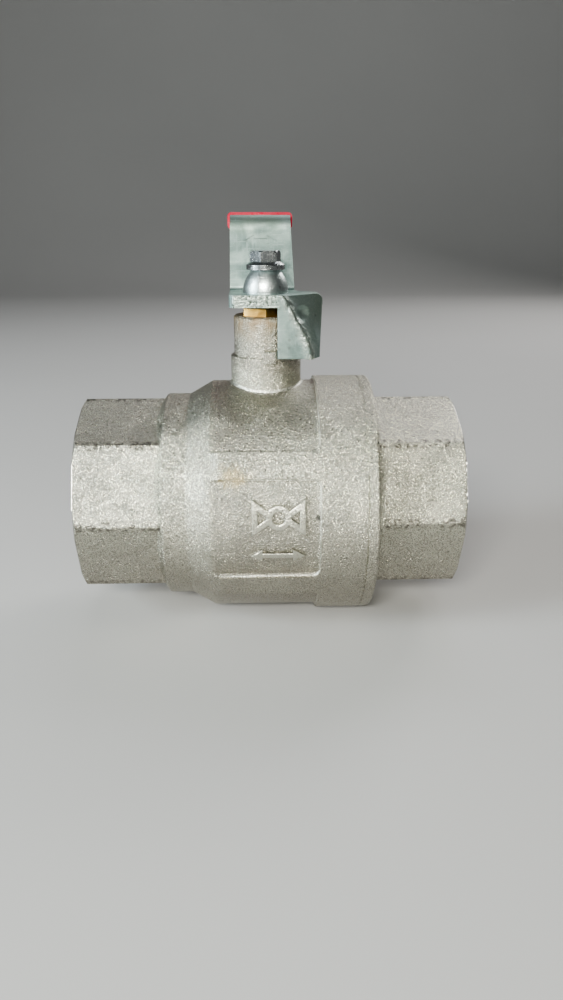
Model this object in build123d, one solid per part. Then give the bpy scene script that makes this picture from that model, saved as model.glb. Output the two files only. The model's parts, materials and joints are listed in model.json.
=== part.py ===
from build123d import *
import os
from math import atan2, cos, hypot, pi, radians, sin, sqrt, tan

# Two-inch full-bore ball valve with female pipe threads, shown closed.
# The origin is the centre of the ball. X runs along the pipe from inlet to outlet, +Z runs up
# the stem, and the lever of the closed valve points along +Y. All sizes are millimetres.

# ---- driving sizes -------------------------------------------------------------------------
# pipe ends
thread_major_d = 59.614   # G 2 parallel pipe thread, over the roots of the socket's thread
socket_depth = 24.0       # threaded depth of each socket
socket_wall = 5.193       # from the thread's major diameter to the octagon's flats
entry_chamfer = 1.4
corner_cut_radial = 2.0   # what the chamfer at the mouth takes off the octagon's corners
corner_cut_axial = 1.3
octagon_edge_radius = 0.8

# ball and seats
ball_d = 76.0
port_d = 50.0
port_chamfer = 0.8
chamber_gap = 1.0         # between the ball and the chamber
seat_wall = 8.0           # radial width of a seat ring
seat_length = 7.1
seat_back_gap = 1.0       # from the edge of the ball's port to the back of the seat
seat_clearance = 0.1      # between the ball and the seat's spherical face
seat_o_ring_section = 1.8
fit_gap = 0.05            # between pieces that sit in one another
overrun = 1.0             # how far a cut runs past the face that it opens

# casing
cap_thread_step = 2.0     # the cap's thread is this much larger in radius than the chamber
casing_wall = 4.5         # outside the cap's thread
collar_wall = 6.0         # outside the seat pocket, on the inlet side
inlet_web = 7.0           # from the ball to the bottom of the inlet socket
outlet_web = 9.0
shoulder_setback = 5.0    # from the front of the inlet seat to the shoulder of the barrel
cone_length = 11.4
collar_length = 8.5
octagon_run_out = 2.9     # the short cone between the octagon's flats and the collar
shoulder_radius = 1.4     # on the corners and in the hollow of the cone
collar_edge_radius = 0.9
pocket_mouth = 1.5        # how far a seat stands out of its pocket
chamber_cone = 8.0
cap_step_setback = 2.5    # from the front of the outlet seat to the step that carries the seal
cap_engagement = 14.6     # from that step to the joint face
joint_seal_thickness = 1.0
flange_thickness = 4.2
flange_edge_radius = 1.2
seam_chamfer = 0.3

# recessed panels round the barrel
panel_depth = 1.6
panel_end_setback = 16.4  # from the joint face
side_panel_half_angle = 24.0
top_panel_half_angle = 54.0
panel_corner_radius = 3.4
panel_floor_radius = 1.3

# raised marks on the front panel
mark_height = 1.2
mark_edge_radius = 0.6
sign_length = 19.0
sign_height = 13.5
sign_stroke = 2.4
sign_ring_d = 9.0
sign_centre = (3.4, 5.2)
arrow_length = 20.0
arrow_head = 5.4
arrow_bar = 2.2
head_slope = 0.9          # an arrow head's length as a share of its width
arrow_centre = (3.0, -8.8)

# stem and its seals
stem_d = 12.0
stem_running_gap = 0.06
stem_flange_d = 20.0
stem_flange_thickness = 3.5
stem_flange_rise = 2.0    # above the top of the ball
tang_thickness = 9.0
tang_length = 17.0
tang_depth = 6.5          # into the ball
tang_clearance = 0.1
thrust_washer_thickness = 1.2
axial_play = 0.05
o_ring_section = 1.7
o_ring_shares = (0.33, 0.67)  # where the two rings sit along the seal land
seal_land = 10.7          # plain bore between the thrust washer and the packing
packing_wall = 3.0
packing_ring_thickness = 1.7
follower_thickness = 2.2
gland_thread_length = 6.2
gland_thread_step = 0.5   # the gland's thread is this much larger in radius than the packing
gland_head_height = 3.1
gland_head_flats = 16.0
gland_edge_chamfer = 0.5

# neck and its cast stops
neck_wall = 2.2           # outside the gland's thread
neck_length = 14.4        # above the collar
neck_collar_step = 1.3
neck_root_radius = 1.8
neck_edge_radius = 0.6
stop_height = 2.9
stop_clearance = 0.2
stop_edge_radius = 1.1
front_stop_width = 4.8
front_stop_reach = 1.6    # out from the neck's collar
rear_stop_width = 6.0
rear_stop_inset = 0.6     # short of the ear's outer face

# lever
plate_thickness = 4.2
plate_gap = 0.5           # above the gland nut
plate_left = 13.2
plate_right = 12.0
plate_front = 13.0
riser_front = 13.0
riser_width = 24.4
riser_top_width = 22.6
riser_centre = -1.6       # at the top, where the arm starts
riser_foot_centre = -1.05
lever_rise = 26.8         # from the top of the plate to the top of the arm
lever_reach = 165.0       # from the stem's axis to the tip of the bare arm
arm_lean = 1.3            # degrees that the arm runs off square
bend_radius = 1.4         # inside the two bends
plate_corner_radius = 2.5
flats_width = 9.0         # across the flats of the stem's upper end
lever_hole_gap = 0.06
stamp_depth = 0.4
stamp_length = 12.0
stamp_drop = 9.0          # from the top of the arm to the stamped arrow

# stop ear, pressed down from the right front corner of the plate
ear_left = 4.0
ear_wall = 3.3
ear_front_gap = 2.2       # in front of the neck's collar
ear_collar_gap = 0.4      # above the neck's collar
ear_ridge_bottom = 16.4
ear_ridge_top = 5.4
ear_ridge_power = 1.4     # how the ridge between front and side bows
ear_side_bottom = (19.4, -10.6)
ear_side_top = (20.9, -1.8)
ear_end_bottom = -5.0
ear_end_top = 1.6
ear_edge_radius = 1.8
ear_roof_radius = 3.0
ear_sections = 6

# sleeve, dome washer and screw
sleeve_thickness = 1.0
sleeve_start = 21.0       # from the stem's axis
sleeve_edge_radius = 1.6
dome_base_d = 16.6
dome_top_d = 11.0
dome_height = 8.2
dome_skirt = 1.0          # straight part above the lever
dome_waist_d = 14.7
dome_waist_height = 4.8
dome_brow = 0.5           # chamfer round the crown
dome_wall = 1.2
dome_hole_gap = 0.25
screw_d = 6.0
screw_length = 22.0
screw_flange_d = 14.0
screw_flange_thickness = 2.7
screw_flange_cone = 1.0   # height of the cone on the flange, from its rim to the hexagon
screw_hex = 10.0
screw_hex_height = 3.9
screw_corner_radial = 0.7  # what the chamfer on top takes off the hexagon's corners
screw_corner_axial = 1.0
screw_turn = 12.0         # degrees that the tightened head is turned
screw_bore_spare = 2.0    # drilled deeper than the screw reaches

# ---- sizes that follow ---------------------------------------------------------------------
ball_r = ball_d / 2
port_r = port_d / 2
thread_r = thread_major_d / 2
flat_r = thread_r + socket_wall
octagon_r = flat_r / cos(pi / 8)
chamber_r = ball_r + chamber_gap
cap_thread_r = chamber_r + cap_thread_step
barrel_r = cap_thread_r + casing_wall
panel_r = barrel_r - panel_depth
seat_r = port_r + seat_wall
pocket_r = seat_r + fit_gap
collar_r = seat_r + collar_wall
seat_back = sqrt(ball_r**2 - port_r**2) + seat_back_gap
seat_front = seat_back - seat_length
pocket_front = seat_front + pocket_mouth
inlet_x = -(ball_r + inlet_web + socket_depth)
outlet_x = ball_r + outlet_web + socket_depth
shoulder_x = -(seat_front - shoulder_setback)
cone_x = shoulder_x - cone_length
collar_x = cone_x - collar_length
octagon_x = collar_x - octagon_run_out
cap_step_x = seat_front - cap_step_setback
nose_x = cap_step_x + joint_seal_thickness
seam_x = cap_step_x + cap_engagement
flange_x = seam_x + flange_thickness
panel_end_x = seam_x - panel_end_setback

stem_r = stem_d / 2
stem_bore_r = stem_r + stem_running_gap
stem_flange_r = stem_flange_d / 2
stem_pocket_r = stem_flange_r + 6 * fit_gap
stem_flange_z = ball_r + stem_flange_rise
washer_z = stem_flange_z + stem_flange_thickness + axial_play
stem_pocket_z = washer_z + thrust_washer_thickness
packing_z = stem_pocket_z + seal_land
packing_r = stem_bore_r + packing_wall
follower_z = packing_z + 3 * packing_ring_thickness
gland_z = follower_z + follower_thickness
gland_thread_r = packing_r + gland_thread_step
neck_z = gland_z + gland_thread_length
neck_r = gland_thread_r + neck_wall
neck_collar_r = neck_r + neck_collar_step
neck_collar_z = neck_z - neck_length
gland_top_z = neck_z + gland_head_height
o_ring_r = o_ring_section / 2
o_ring_heights = [stem_pocket_z + seal_land * share for share in o_ring_shares]

plate_z = gland_top_z + plate_gap
plate_top_z = plate_z + plate_thickness
arm_top_z = plate_top_z + lever_rise
arm_z = arm_top_z - plate_thickness
riser_back = riser_front + plate_thickness
bend_top_z = plate_top_z + bend_radius
arm_start = riser_back + bend_radius
stem_top_z = plate_top_z - 8 * fit_gap
ear_z = neck_collar_z + ear_collar_gap
ear_front = -(neck_collar_r + ear_front_gap)
front_stop_x = ear_left - stop_clearance
stop_share = (neck_collar_z + stop_height - ear_z) / (plate_top_z - ear_z)
rear_stop_x = -(ear_end_bottom + (ear_end_top - ear_end_bottom) * stop_share) - stop_clearance
rear_stop_r = ear_side_bottom[0] - rear_stop_inset
dome_top_z = plate_top_z + dome_height
screw_bore_depth = screw_length - dome_height + screw_bore_spare


# ---- helpers -------------------------------------------------------------------------------
def turned_x(*points):
    """Solid of revolution round the pipe's axis, from (x, radius) points."""
    return revolve(Plane.XY * make_face(Polyline(*points, close=True)), axis=Axis.X)


def turned_z(*points):
    """Solid of revolution round the stem's axis, from (radius, z) points."""
    return revolve(Plane.XZ * make_face(Polyline(*points, close=True)), axis=Axis.Z)


def at_corner(face, *points):
    """The corners of a flat face that lie at the given points."""
    return [v for v in face.vertices() if any(hypot(v.X - x, v.Y - y) < fit_gap for x, y in points)]


def rod_x(radius, x0, x1):
    return Pos(x0, 0, 0) * extrude(Plane.YZ * Circle(radius), x1 - x0)


def post(radius, z0, z1):
    return Pos(0, 0, z0) * extrude(Circle(radius), z1 - z0)


def ring_z(outer, inner, z0, z1):
    return post(outer, z0, z1) - post(inner, z0, z1)


def block(x0, x1, y0, y1, z0, z1):
    return Pos(x0, y0, z0) * Box(x1 - x0, y1 - y0, z1 - z0, align=(Align.MIN,) * 3)


def from_stem(point):
    """Distance of a point from the stem's axis."""
    return hypot(point.X, point.Y)


def domed_arc(start, end):
    """An arc between two (x, radius) points, centred on the pipe's axis: it turns into part of a sphere."""
    centre = (hypot(*end) ** 2 - hypot(*start) ** 2) / (2 * (end[0] - start[0]))
    middle = (atan2(start[1], start[0] - centre) + atan2(end[1], end[0] - centre)) / 2
    radius = hypot(start[0] - centre, start[1])
    return ThreePointArc(start, (centre + radius * cos(middle), radius * sin(middle)), end)


def octagon_end(mouth_x, inner_x):
    """An octagonal boss with a corner up, its corners rounded off at the mouth."""
    low, high = min(mouth_x, inner_x), max(mouth_x, inner_x)
    face = fillet(RegularPolygon(octagon_r, 8).vertices(), octagon_edge_radius)
    prism = Pos(low, 0, 0) * extrude(Plane.YZ * face, high - low)
    way = 1 if inner_x > mouth_x else -1
    lip = (mouth_x, octagon_r - corner_cut_radial)
    full = (mouth_x + way * corner_cut_axial, octagon_r + fit_gap)
    rest = Polyline(full, (inner_x, full[1]), (inner_x, 0), (mouth_x, 0), lip)
    rounded = revolve(Plane.XY * make_face(domed_arc(lip, full) + rest), axis=Axis.X)
    return prism & rounded


def socket_cut(mouth_x, way):
    """The pipe socket from its mouth inwards, with its entry chamfer."""
    return turned_x(
        (mouth_x - way * overrun, 0),
        (mouth_x - way * overrun, thread_r + entry_chamfer + overrun),
        (mouth_x + way * entry_chamfer, thread_r),
        (mouth_x + way * socket_depth, thread_r),
        (mouth_x + way * socket_depth, 0),
    )


def panel_cut(centre, half):
    """The space of one recessed panel; angles in degrees, from +Y towards +Z."""
    reach = barrel_r + overrun
    far = 2 * reach
    a = radians(half)
    sector = Polyline(
        (0, 0),
        (far * cos(a), -far * sin(a)),
        (far / cos(a / 2), -far * tan(a / 2)),
        (far / cos(a / 2), far * tan(a / 2)),
        (far * cos(a), far * sin(a)),
        close=True,
    )
    wedge = Pos(cone_x, 0, 0) * extrude(Plane.YZ * make_face(sector), panel_end_x - cone_x)
    cutter = (rod_x(reach, cone_x, panel_end_x) - rod_x(panel_r, cone_x, panel_end_x)) & wedge
    corners = [
        e
        for e in cutter.edges().filter_by(GeomType.LINE)
        if abs(e.center().X - panel_end_x) < fit_gap and e.length < 2 * (reach - panel_r)
    ]
    cutter = fillet(corners, panel_corner_radius)
    floor_rim = [
        e
        for e in cutter.edges()
        if abs(hypot((e @ 0.5).Y, (e @ 0.5).Z) - panel_r) < fit_gap and (e @ 0.5).X > cone_x + fit_gap
    ]
    cutter = fillet(floor_rim, panel_floor_radius)
    return Rot(centre, 0, 0) * cutter


def raised_on_front(sketch):
    """A mark that stands on the front panel and follows its curve, with its top edges rounded."""
    front = Plane((0, 0, 0), x_dir=(1, 0, 0), z_dir=(0, -1, 0))
    top_r = panel_r + mark_height
    band = rod_x(top_r, shoulder_x, panel_end_x) - rod_x(panel_r - overrun, shoulder_x, panel_end_x)
    mark = extrude(front * sketch, barrel_r) & band
    rim = [e for e in mark.edges() if abs(hypot((e @ 0.5).Y, (e @ 0.5).Z) - top_r) < fit_gap]
    return fillet(rim, mark_edge_radius)


def valve_sign():
    """The drawing sign for a ball valve: two triangles, point to point, with a ring between them."""
    end, half, ring_r = sign_length / 2, sign_height / 2, sign_ring_d / 2
    right = make_face(Polyline((0, 0), (end, -half), (end, half), close=True))
    right -= offset(right, -sign_stroke)
    sign = right + mirror(right, about=Plane.YZ)
    return sign - Circle(ring_r) + (Circle(ring_r) - Circle(ring_r - sign_stroke))


def double_arrow(length, head, bar):
    """A bar with an arrow head at both ends, drawn round its own centre."""
    tip, neck = length / 2, length / 2 - head_slope * head
    quarter = [(tip, 0), (neck, head / 2), (neck, bar / 2)]
    upper = quarter + [(-x, y) for x, y in reversed(quarter)]
    lower = [(x, -y) for x, y in reversed(upper[1:-1])]
    return make_face(Polyline(*upper, *lower, close=True))


# ---- casing --------------------------------------------------------------------------------
def make_stops():
    """The two cast lugs on the neck that the ear of the lever meets, closed and open."""
    top = neck_collar_z + stop_height
    front = block(
        front_stop_x - front_stop_width,
        front_stop_x,
        -(neck_collar_r + front_stop_reach),
        0,
        neck_collar_z - stop_height / 2,
        top,
    )
    rear = block(rear_stop_x - rear_stop_width, rear_stop_x, 0, rear_stop_r, chamber_r, top)
    lugs = []
    for lug, out_y in ((front, -(neck_collar_r + front_stop_reach)), (rear, rear_stop_r)):
        outer = [e for e in lug.edges() if abs(e.center().Y - out_y) < fit_gap]
        outer = [e for e in outer if e.center().Z > neck_collar_z - stop_height / 4]
        lugs.append(fillet(outer, stop_edge_radius))
    return lugs


def make_valve_body():
    outline = Polyline(
        (collar_x, collar_r),
        (cone_x, collar_r),
        (shoulder_x, barrel_r),
        (seam_x - seam_chamfer, barrel_r),
        (seam_x, barrel_r - seam_chamfer),
        (seam_x, 0),
        (octagon_x, 0),
        (octagon_x, flat_r - fit_gap),
    )
    side = make_face(outline + domed_arc((octagon_x, flat_r - fit_gap), (collar_x, collar_r)))
    side = fillet(at_corner(side, (cone_x, collar_r), (shoulder_x, barrel_r)), shoulder_radius)
    side = fillet(at_corner(side, (collar_x, collar_r)), collar_edge_radius)
    casing = revolve(Plane.XY * side, axis=Axis.X)
    casing += octagon_end(inlet_x, collar_x)
    for centre in (0, 180):
        casing -= panel_cut(centre, side_panel_half_angle)
    for centre in (90, -90):
        casing -= panel_cut(centre, top_panel_half_angle)

    casing += post(neck_collar_r, chamber_r - casing_wall, neck_collar_z)
    root = [
        e
        for e in casing.edges()
        if abs(from_stem(e @ 0.5) - neck_collar_r) < fit_gap
        and 0 < (e @ 0.5).Z < neck_collar_z - neck_collar_step
        and abs(from_stem(e @ 0.25) - neck_collar_r) < fit_gap
    ]
    casing = fillet(root, neck_root_radius)
    shoulder = [e for e in casing.edges() if abs(e.center().Z - neck_collar_z) < fit_gap]
    casing = fillet(shoulder, neck_edge_radius)
    upper = post(neck_r, chamber_r, neck_z)
    casing += chamfer(upper.edges().sort_by(Axis.Z).last, neck_edge_radius)
    for lug in make_stops():
        casing += lug

    casing += raised_on_front(Pos(*sign_centre) * valve_sign())
    casing += raised_on_front(Pos(*arrow_centre) * double_arrow(arrow_length, arrow_head, arrow_bar))

    # flow passage, seat pocket, chamber and the bore that takes the end cap
    casing -= socket_cut(inlet_x, 1)
    casing -= turned_x(
        (inlet_x, 0),
        (inlet_x, port_r),
        (-seat_back, port_r),
        (-seat_back, pocket_r),
        (-pocket_front, pocket_r),
        (chamber_cone - pocket_front, chamber_r),
        (cap_step_x, chamber_r),
        (cap_step_x, cap_thread_r),
        (seam_x + overrun, cap_thread_r),
        (seam_x + overrun, 0),
    )
    # stem bore, from the chamber up
    casing -= post(stem_pocket_r, 0, stem_pocket_z)
    casing -= post(stem_bore_r, 0, neck_z + overrun)
    casing -= post(packing_r + fit_gap, packing_z, neck_z + overrun)
    casing -= post(gland_thread_r + fit_gap, gland_z, neck_z + overrun)
    return casing


def make_end_cap():
    flange = rod_x(barrel_r, seam_x, flange_x)
    rim = flange.edges().sort_by(Axis.X)
    flange = chamfer(rim.first, seam_chamfer)
    flange = fillet(flange.edges().sort_by(Axis.X).last, flange_edge_radius)
    cap = flange + octagon_end(outlet_x, seam_x + flange_thickness / 2)
    cap += rod_x(cap_thread_r - fit_gap, nose_x, seam_x + overrun)
    cap -= socket_cut(outlet_x, -1)
    cap -= turned_x(
        (nose_x - overrun, 0),
        (nose_x - overrun, chamber_r),
        (nose_x, chamber_r),
        (pocket_front, pocket_r),
        (seat_back, pocket_r),
        (seat_back, port_r),
        (outlet_x, port_r),
        (outlet_x, 0),
    )
    return cap


def make_cap_joint_seal():
    ring = rod_x(cap_thread_r - 2 * fit_gap, cap_step_x, nose_x)
    return ring - rod_x(chamber_r + 2 * fit_gap, cap_step_x, nose_x)


# ---- ball and seats ------------------------------------------------------------------------
def make_ball():
    ball = Sphere(ball_r) - Rot(90, 0, 0) * Cylinder(port_r, 3 * ball_r)
    lips = [e for e in ball.edges() if abs(hypot((e @ 0.3).X, (e @ 0.3).Z) - port_r) < fit_gap]
    lips = [e for e in lips if abs((e @ 0.3).Y) > port_r / 2 and abs((e @ 0.6).Y - (e @ 0.3).Y) < fit_gap]
    ball = chamfer(lips, port_chamfer)
    half = tang_thickness / 2 + tang_clearance
    slot_z = ball_r - tang_depth
    return ball - block(-ball_r, ball_r, -half, half, slot_z, ball_r + overrun)


def make_seat(side):
    """A seat ring with a spherical face; side is -1 at the inlet and 1 at the outlet."""
    sphere_r = ball_r + seat_clearance
    groove_r = seat_r - seat_o_ring_section - 2 * fit_gap
    groove_x = seat_back - seat_o_ring_section - 2 * fit_gap
    inner_x = sqrt(sphere_r**2 - port_r**2)
    middle_x = (inner_x + seat_front) / 2
    inner = (side * inner_x, port_r)
    middle = (side * middle_x, sqrt(sphere_r**2 - middle_x**2))
    outer = (side * seat_front, sqrt(sphere_r**2 - seat_front**2))
    corners = [
        (seat_front, seat_r),
        (groove_x, seat_r),
        (groove_x, groove_r),
        (seat_back, groove_r),
        (seat_back, port_r),
    ]
    rest = Polyline(outer, *[(side * x, r) for x, r in corners], inner)
    return revolve(Plane.XY * make_face(ThreePointArc(inner, middle, outer) + rest), axis=Axis.X)


def make_seat_o_ring(side):
    tube_r = seat_o_ring_section / 2
    x = side * (seat_back - tube_r - fit_gap)
    return Pos(x, 0, 0) * Rot(0, 90, 0) * Torus(seat_r - tube_r - fit_gap, tube_r)


# ---- stem and its seals --------------------------------------------------------------------
def make_stem():
    stem = post(stem_flange_r, stem_flange_z, stem_flange_z + stem_flange_thickness)
    stem += post(stem_r, stem_flange_z, stem_top_z)
    tang = block(
        -tang_length / 2,
        tang_length / 2,
        -tang_thickness / 2,
        tang_thickness / 2,
        ball_r - tang_depth + tang_clearance,
        stem_flange_z + overrun,
    )
    stem += tang
    for height in o_ring_heights:
        z0, z1 = height - o_ring_r - fit_gap, height + o_ring_r + fit_gap
        stem -= ring_z(stem_r + overrun, stem_r - o_ring_section, z0, z1)
    flat = flats_width / 2
    for way in (-1, 1):
        x0, x1 = sorted((way * flat, way * 2 * stem_r))
        stem -= block(x0, x1, -stem_d, stem_d, plate_z - plate_gap / 2, stem_top_z + overrun)
    return stem - post(screw_d / 2 + fit_gap, stem_top_z - screw_bore_depth, stem_top_z + overrun)


def make_stem_o_ring(height):
    tube_r = o_ring_r - fit_gap / 2
    return Pos(0, 0, height) * Torus(stem_r - o_ring_r, tube_r)


def make_thrust_washer():
    top = washer_z + thrust_washer_thickness - axial_play
    return ring_z(stem_flange_r, stem_bore_r, washer_z, top)


def make_packing_ring(place):
    z0 = packing_z + place * packing_ring_thickness
    return ring_z(packing_r, stem_bore_r, z0, z0 + packing_ring_thickness)


def make_gland_follower():
    return ring_z(packing_r, stem_bore_r, follower_z, gland_z)


def make_gland_nut():
    hexagon = RegularPolygon(gland_head_flats / 2, 6, major_radius=False, rotation=30)
    head = Pos(0, 0, neck_z) * extrude(hexagon, gland_head_height)
    head = chamfer(head.faces().sort_by(Axis.Z).last.edges(), gland_edge_chamfer)
    nut = head + post(gland_thread_r, gland_z, neck_z)
    return nut - post(stem_bore_r, gland_z, gland_top_z)


# ---- lever ---------------------------------------------------------------------------------
def arm_centre(y):
    """X of the arm's middle line, which runs slightly off square."""
    return riser_centre - (y - arm_start) * tan(radians(arm_lean))


def arm_outline(grow, start):
    """Plan of the arm from y = start to its round tip, grown all round by the given amount."""
    half = riser_top_width / 2 + grow
    end = lever_reach - riser_top_width / 2
    left = [(arm_centre(start) - half, start), (arm_centre(end) - half, end)]
    right = [(arm_centre(end) + half, end), (arm_centre(start) + half, start)]
    tip = (arm_centre(lever_reach + grow), lever_reach + grow)
    edge = Polyline(*right, *left) + ThreePointArc(left[1], tip, right[0])
    return make_face(edge)


def ear_outline(share, wall=0.0):
    """Plan of the stop ear: share is 0 at its foot and 1 at the plate, wall an inward offset."""

    def between(low, high):
        return low + (high - low) * share

    ridge = ear_ridge_bottom - (ear_ridge_bottom - ear_ridge_top) * share**ear_ridge_power
    corner = (between(ear_side_bottom[0], ear_side_top[0]), between(ear_side_bottom[1], ear_side_top[1]))
    turn = atan2(corner[1] - ear_front, corner[0] - ridge)
    back = between(ear_end_bottom, ear_end_top)
    front_y = ear_front + wall
    side_x = corner[0] - wall
    ridge_x = ridge - wall * tan(turn / 2)
    corner_y = corner[1] + wall * tan((pi / 2 - turn) / 2)
    over = overrun if wall else 0.0
    return [
        (ear_left - over, front_y),
        (ridge_x, front_y),
        (side_x, corner_y),
        (side_x, back + over),
        (ear_left - over, back + over),
    ]


def ear_block(z0, z1, wall=0.0):
    """The ear's outline lofted between two heights."""
    faces = []
    for i in range(ear_sections):
        z = z0 + (z1 - z0) * i / (ear_sections - 1)
        share = (z - ear_z) / (plate_top_z - ear_z)
        outline = ear_outline(min(max(share, 0.0), 1.0), wall)
        faces.append(Pos(0, 0, z) * make_face(Polyline(*outline, close=True)))
    return loft(faces)


def roof_round():
    """What the round along the ear's upper right edge takes off."""
    x, z, r = ear_side_top[0], plate_top_z, ear_roof_radius
    corner = block(x - r, x + overrun, -riser_width, riser_width, z - r, z + overrun)
    return corner - Pos(x - r, 0, z - r) * Rot(90, 0, 0) * Cylinder(r, 2 * riser_width + 2 * overrun)


def lever_profile():
    """The strap seen from the side, extruded across the lever: plate, riser and arm."""
    outline = Polyline(
        (-plate_front, plate_z),
        (riser_back, plate_z),
        (riser_back, arm_z),
        (lever_reach + overrun, arm_z),
        (lever_reach + overrun, arm_top_z),
        (riser_front, arm_top_z),
        (riser_front, plate_top_z),
        (-plate_front, plate_top_z),
        close=True,
    )
    face = make_face(outline)
    outer = at_corner(face, (riser_back, plate_z), (riser_front, arm_top_z))
    face = fillet(outer, bend_radius + plate_thickness)
    inner = at_corner(face, (riser_back, arm_z), (riser_front, plate_top_z))
    face = fillet(inner, bend_radius)
    across = 2 * riser_width
    return Pos(-across, 0, 0) * extrude(Plane.YZ * face, 2 * across)


def make_lever():
    strap = lever_profile()
    half = riser_width / 2
    top_half = riser_top_width / 2

    hub_plan = [
        (-plate_left, -plate_front),
        (ear_left, -plate_front),
        *ear_outline(1.0)[1:4],
        (plate_right, riser_front / 2),
        (riser_foot_centre + half, riser_front - bend_radius),
        (riser_foot_centre + half, riser_back),
        (riser_foot_centre - half, riser_back),
        (riser_foot_centre - half, riser_front - bend_radius),
        (-plate_left, riser_front / 2),
    ]
    plan_face = make_face(Polyline(*hub_plan, close=True))
    rounded = at_corner(plan_face, hub_plan[0], hub_plan[-1], *ear_outline(1.0)[2:4])
    plan_face = fillet(rounded, plate_corner_radius)
    plan = Pos(0, 0, plate_z) * extrude(plan_face, bend_top_z - plate_z)
    hub = strap & plan
    # the plate also runs out over the ear, in front of the strap's own edge
    hub += plan & block(ear_left, 2 * riser_width, ear_front, riser_front / 2, plate_z, plate_top_z)

    riser_front_view = Polyline(
        (riser_foot_centre - half, bend_top_z),
        (riser_foot_centre + half, bend_top_z),
        (riser_centre + top_half, arm_z),
        (riser_centre + top_half, arm_top_z),
        (riser_centre - top_half, arm_top_z),
        (riser_centre - top_half, arm_z),
        close=True,
    )
    riser_prism = Pos(0, arm_start, 0) * extrude(Plane.XZ * make_face(riser_front_view), arm_start)
    riser = strap & riser_prism
    arm = strap & Pos(0, 0, arm_z) * extrude(arm_outline(0, arm_start), plate_thickness)
    lever = hub + riser + arm

    ear = ear_block(ear_z, plate_top_z)
    ridges = [
        e
        for e in ear.edges()
        if abs((e @ 0.5).Z - (ear_z + plate_top_z) / 2) < (plate_top_z - ear_z) / 4
        and (e @ 0.5).X > ear_left + ear_wall
        and (e @ 0.5).Y < ear_end_bottom
    ]
    ear = fillet(ridges, ear_edge_radius)
    lever += ear
    lever -= ear_block(ear_z - overrun, plate_z, ear_wall)
    lever -= roof_round()

    hole = post(stem_r + lever_hole_gap, plate_z - overrun, plate_top_z + overrun)
    reach = flats_width / 2 + lever_hole_gap
    lever -= hole & block(-reach, reach, -stem_d, stem_d, plate_z - overrun, plate_top_z + overrun)

    stamp = double_arrow(stamp_length, stamp_length / 3, stamp_length / 8)
    stamp_centre = (riser_centre, riser_front, arm_top_z - stamp_drop)
    stamp_plane = Plane(stamp_centre, x_dir=(1, 0, 0), z_dir=(0, -1, 0))
    lever -= extrude(stamp_plane * stamp, -stamp_depth)
    return lever


def make_lever_sleeve():
    grown = arm_outline(sleeve_thickness, sleeve_start)
    height = plate_thickness + 2 * sleeve_thickness
    sleeve = Pos(0, 0, arm_z - sleeve_thickness) * extrude(grown, height)
    middle_z = (arm_z + arm_top_z) / 2
    long_edges = [
        e
        for e in sleeve.edges()
        if abs(e.center().Z - middle_z) > height / 4 and (e @ 0.5).Y > sleeve_start + overrun
    ]
    sleeve = fillet(long_edges, sleeve_edge_radius)
    core = extrude(arm_outline(fit_gap, sleeve_start - overrun), plate_thickness + 2 * fit_gap)
    return sleeve - Pos(0, 0, arm_z - fit_gap) * core


def make_dome_washer():
    """A pressed cup that stands on the lever and carries the screw's flange."""
    base, top = dome_base_d / 2, dome_top_d / 2
    skirt = (base, plate_top_z + dome_skirt)
    brow = (top, dome_top_z - dome_brow)
    foot_z = plate_top_z - dome_wall
    side = ThreePointArc(skirt, (dome_waist_d / 2, plate_top_z + dome_waist_height), brow)
    rest = Polyline(brow, (top - dome_brow, dome_top_z), (0, dome_top_z), (0, foot_z), (base, foot_z), skirt)
    profile = make_face(side + rest)
    hollow = offset(profile, -dome_wall)
    cup = revolve(Plane.XZ * profile, axis=Axis.Z) - revolve(Plane.XZ * hollow, axis=Axis.Z)
    cup &= post(base, plate_top_z, dome_top_z)
    return cup - post(screw_d / 2 + dome_hole_gap, plate_top_z, dome_top_z + overrun)


def make_lever_screw():
    hex_z = dome_top_z + screw_flange_thickness
    top_z = hex_z + screw_hex_height
    hexagon_r = screw_hex / 2 / cos(pi / 6)
    flange_r = screw_flange_d / 2
    above = turned_z((hexagon_r, hex_z), (flange_r, hex_z - screw_flange_cone), (screw_flange_d, hex_z))
    flange = post(flange_r, dome_top_z, hex_z) - above
    hexagon = RegularPolygon(screw_hex / 2, 6, major_radius=False, rotation=screw_turn)
    head = Pos(0, 0, dome_top_z) * extrude(hexagon, top_z - dome_top_z)
    turned = post(hexagon_r, dome_top_z, top_z)
    turned = chamfer(turned.edges().sort_by(Axis.Z).last, screw_corner_axial, screw_corner_radial)
    screw = flange + (head & turned)
    return screw + post(screw_d / 2, dome_top_z - screw_length, dome_top_z)


# ---- write every piece ---------------------------------------------------------------------
pieces = {
    "valve_body": make_valve_body(),
    "end_cap": make_end_cap(),
    "cap_joint_seal": make_cap_joint_seal(),
    "ball": make_ball(),
    "inlet_seat": make_seat(-1),
    "outlet_seat": make_seat(1),
    "inlet_seat_o_ring": make_seat_o_ring(-1),
    "outlet_seat_o_ring": make_seat_o_ring(1),
    "stem": make_stem(),
    "stem_thrust_washer": make_thrust_washer(),
    "stem_o_ring_lower": make_stem_o_ring(o_ring_heights[0]),
    "stem_o_ring_upper": make_stem_o_ring(o_ring_heights[1]),
    "packing_ring_bottom": make_packing_ring(0),
    "packing_ring_middle": make_packing_ring(1),
    "packing_ring_top": make_packing_ring(2),
    "gland_follower": make_gland_follower(),
    "gland_nut": make_gland_nut(),
    "lever": make_lever(),
    "lever_sleeve": make_lever_sleeve(),
    "dome_washer": make_dome_washer(),
    "lever_screw": make_lever_screw(),
}

os.makedirs("parts", exist_ok=True)
for node, solid in pieces.items():
    export_step(solid, f"parts/{node}.step")

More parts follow.
